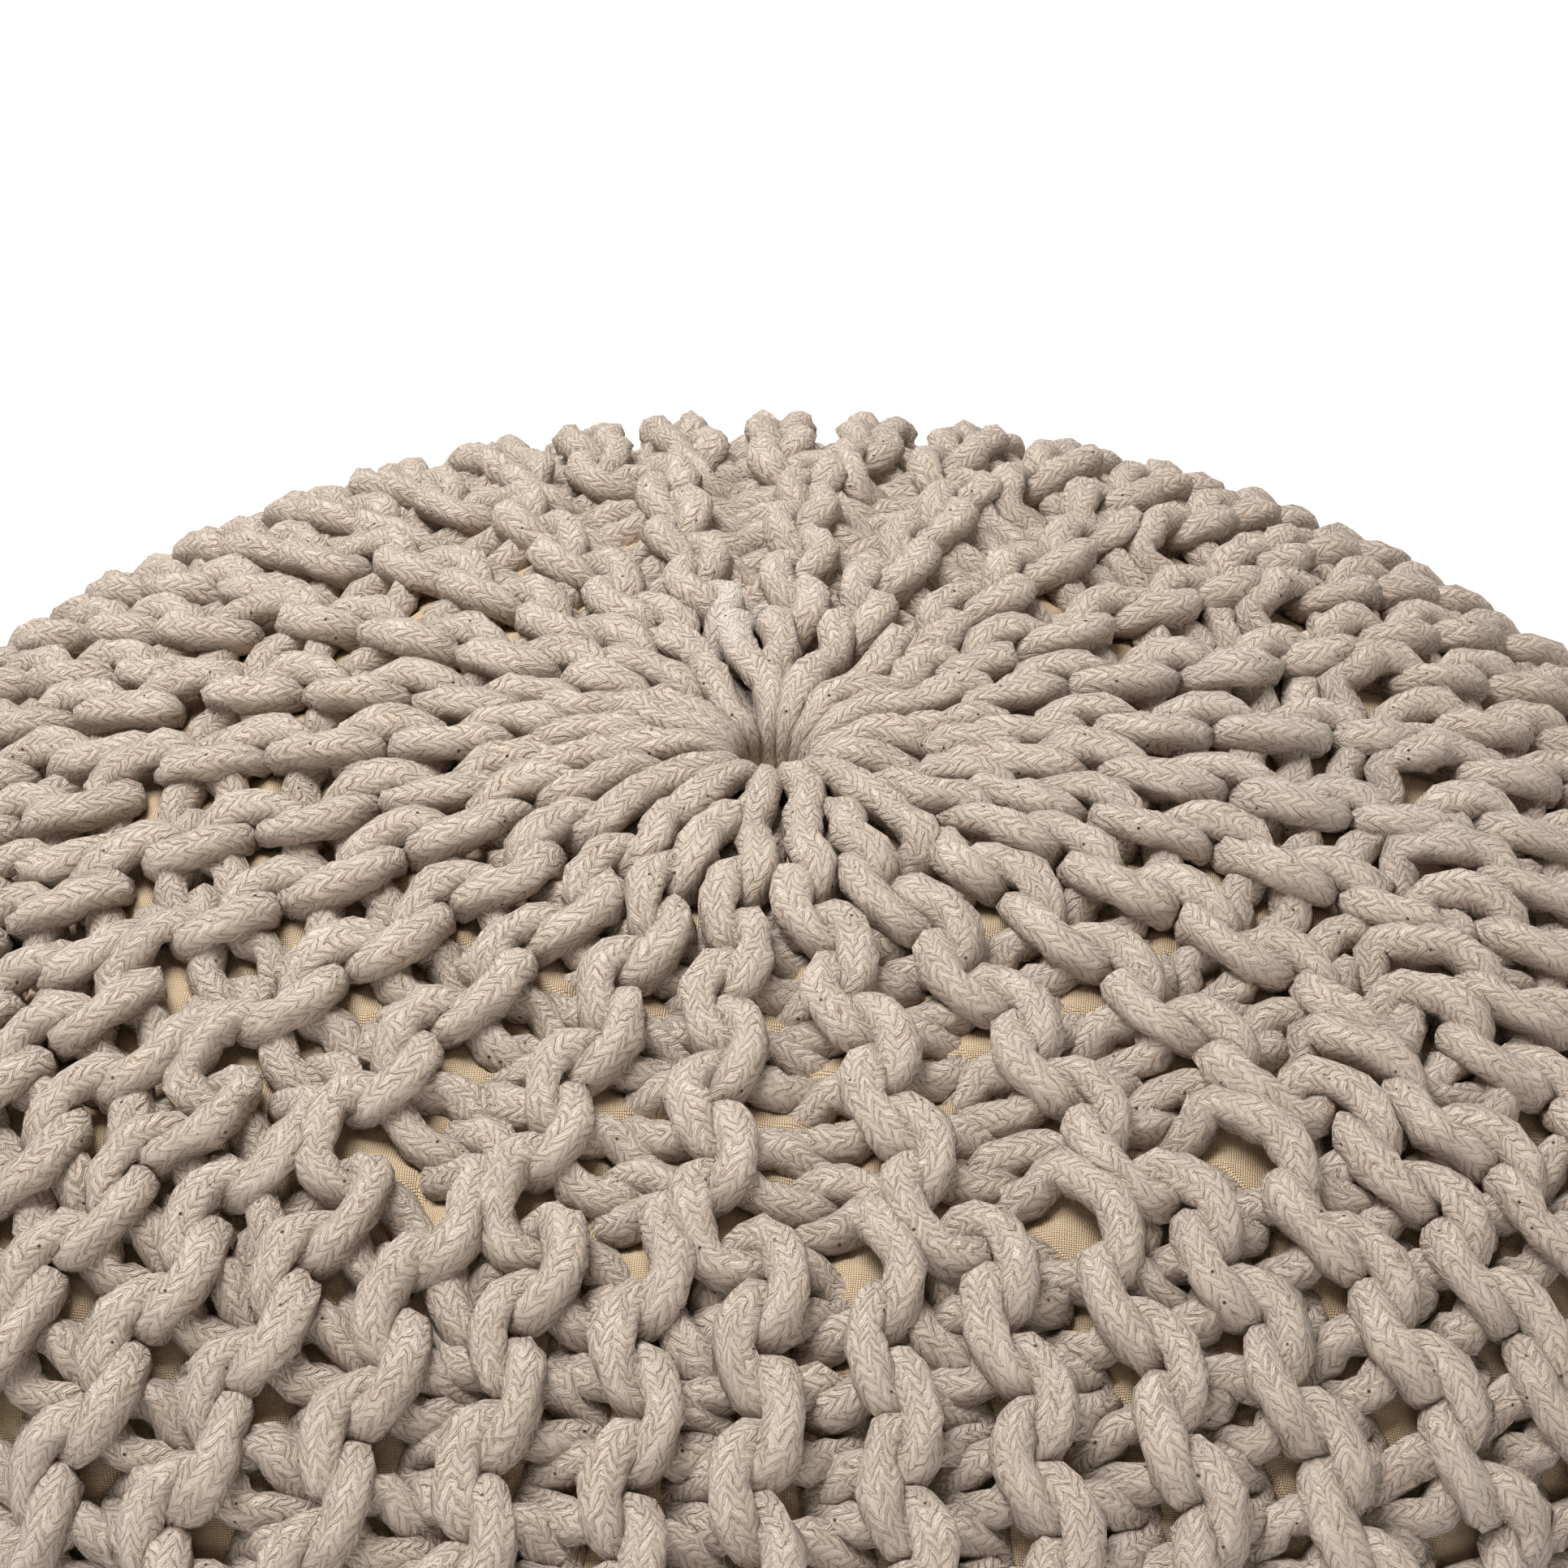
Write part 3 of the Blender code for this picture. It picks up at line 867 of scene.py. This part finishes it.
def makeFloorMaterial():
    material, paint, shader = startMaterial("floor")
    place = paint.node("ShaderNodeTexCoord", {}, {}, "Object")
    away = place.vectorMath("LENGTH", output="Value")
    glow = away.over(*stage["glow"]).mix((0, 0, 0), (1, 1, 1))
    paint.tree.links.new(glow.link, shader.inputs["Emission Color"])
    shader.inputs["Emission Strength"].default_value = stage["glowStrength"]
    material.cycles.emission_sampling = "NONE"  # it only glows, and isn't sampled as a lamp
    shader.inputs["Base Color"].default_value = (*stage["colour"], 1)
    shader.inputs["Roughness"].default_value = stage["roughness"]
    return material


def makeFloor():
    flat, sweep, columns = stage["floor"], stage["sweep"], stage["columns"]
    rise = [math.radians(90 / stage["sweepSteps"] * k) for k in range(stage["sweepSteps"] + 1)]
    outline = [(flat + sweep * math.sin(turn), sweep * (1 - math.cos(turn))) for turn in rise]
    outline.append((flat + sweep, stage["wall"]))
    around = [2 * math.pi * k / columns for k in range(columns)]
    verts = [(r * math.cos(turn), r * math.sin(turn), z) for r, z in outline for turn in around]
    faces = [list(range(columns))]
    for ring in range(len(outline) - 1):
        for k in range(columns):
            low, after = ring * columns, (k + 1) % columns
            faces.append((low + k, low + columns + k, low + columns + after, low + after))
    mesh = bpy.data.meshes.new("floor")
    mesh.from_pydata(verts, [], faces)
    mesh.shade_smooth()
    floor = bpy.data.objects.new("floor", mesh)
    bpy.context.scene.collection.objects.link(floor)
    floor.data.materials.append(makeFloorMaterial())
    print("floor made:", len(faces), "faces")


def makeLight():
    for lamp in stage["lamps"]:
        light = bpy.data.lights.new(lamp["name"], "AREA")
        light.energy = lamp["watts"]
        light.size = lamp["size"]
        lampObject = bpy.data.objects.new(lamp["name"], light)
        bpy.context.scene.collection.objects.link(lampObject)
        lampObject.location = lamp["place"]
        aim = Vector(lamp["aim"]) - Vector(lamp["place"])
        lampObject.rotation_euler = aim.to_track_quat("-Z", "Y").to_euler()
    world = bpy.context.scene.world or bpy.data.worlds.new("world")
    bpy.context.scene.world = world
    world.use_nodes = True
    background = world.node_tree.nodes["Background"]
    background.inputs["Color"].default_value = (*stage["skyColour"], 1)
    background.inputs["Strength"].default_value = stage["sky"]
    bpy.context.scene.view_settings.view_transform = "Standard"
    print("lit by", len(stage["lamps"]), "lamps and the sky")


view = {  # the photograph's camera, from the top of the pouf
    "distance": 0.794,
    "down": 0.5925,  # radians
    "lens": 84.6,
    "sensor": 36,
    "topAcross": 948.5,  # where the top of the pouf lies in the photograph, in its pixels
    "topDown": 884.0,
    "pixels": 1932,
    "turn": 4.4,  # degrees round the pouf
}


def makeCamera():
    data = bpy.data.cameras.new("camera")
    camera = bpy.data.objects.new("camera", data)
    bpy.context.scene.collection.objects.link(camera)
    data.sensor_width = view["sensor"]
    data.lens = view["lens"]
    data.sensor_fit = "HORIZONTAL"
    turn = math.radians(view["turn"])
    away = view["distance"] * math.cos(view["down"])
    camera.location = (away * math.sin(turn), -away * math.cos(turn),
                       pouf["height"] + view["distance"] * math.sin(view["down"]))
    focal = view["lens"] / view["sensor"] * view["pixels"]
    extraDown = math.atan((view["pixels"] / 2 - view["topDown"]) / focal)
    aside = math.atan((view["pixels"] / 2 - view["topAcross"]) / focal)
    camera.rotation_euler = (math.pi / 2 - view["down"] - extraDown, 0, turn - aside)
    bpy.context.scene.camera = camera
    print("camera", view["distance"], "m from the top of the pouf")


chains = settleKnit(layRows())
makeCover(chains, makeCordMaterial())
makeBag(chains, makeCalicoMaterial())
makeFloor()
makeLight()
makeCamera()
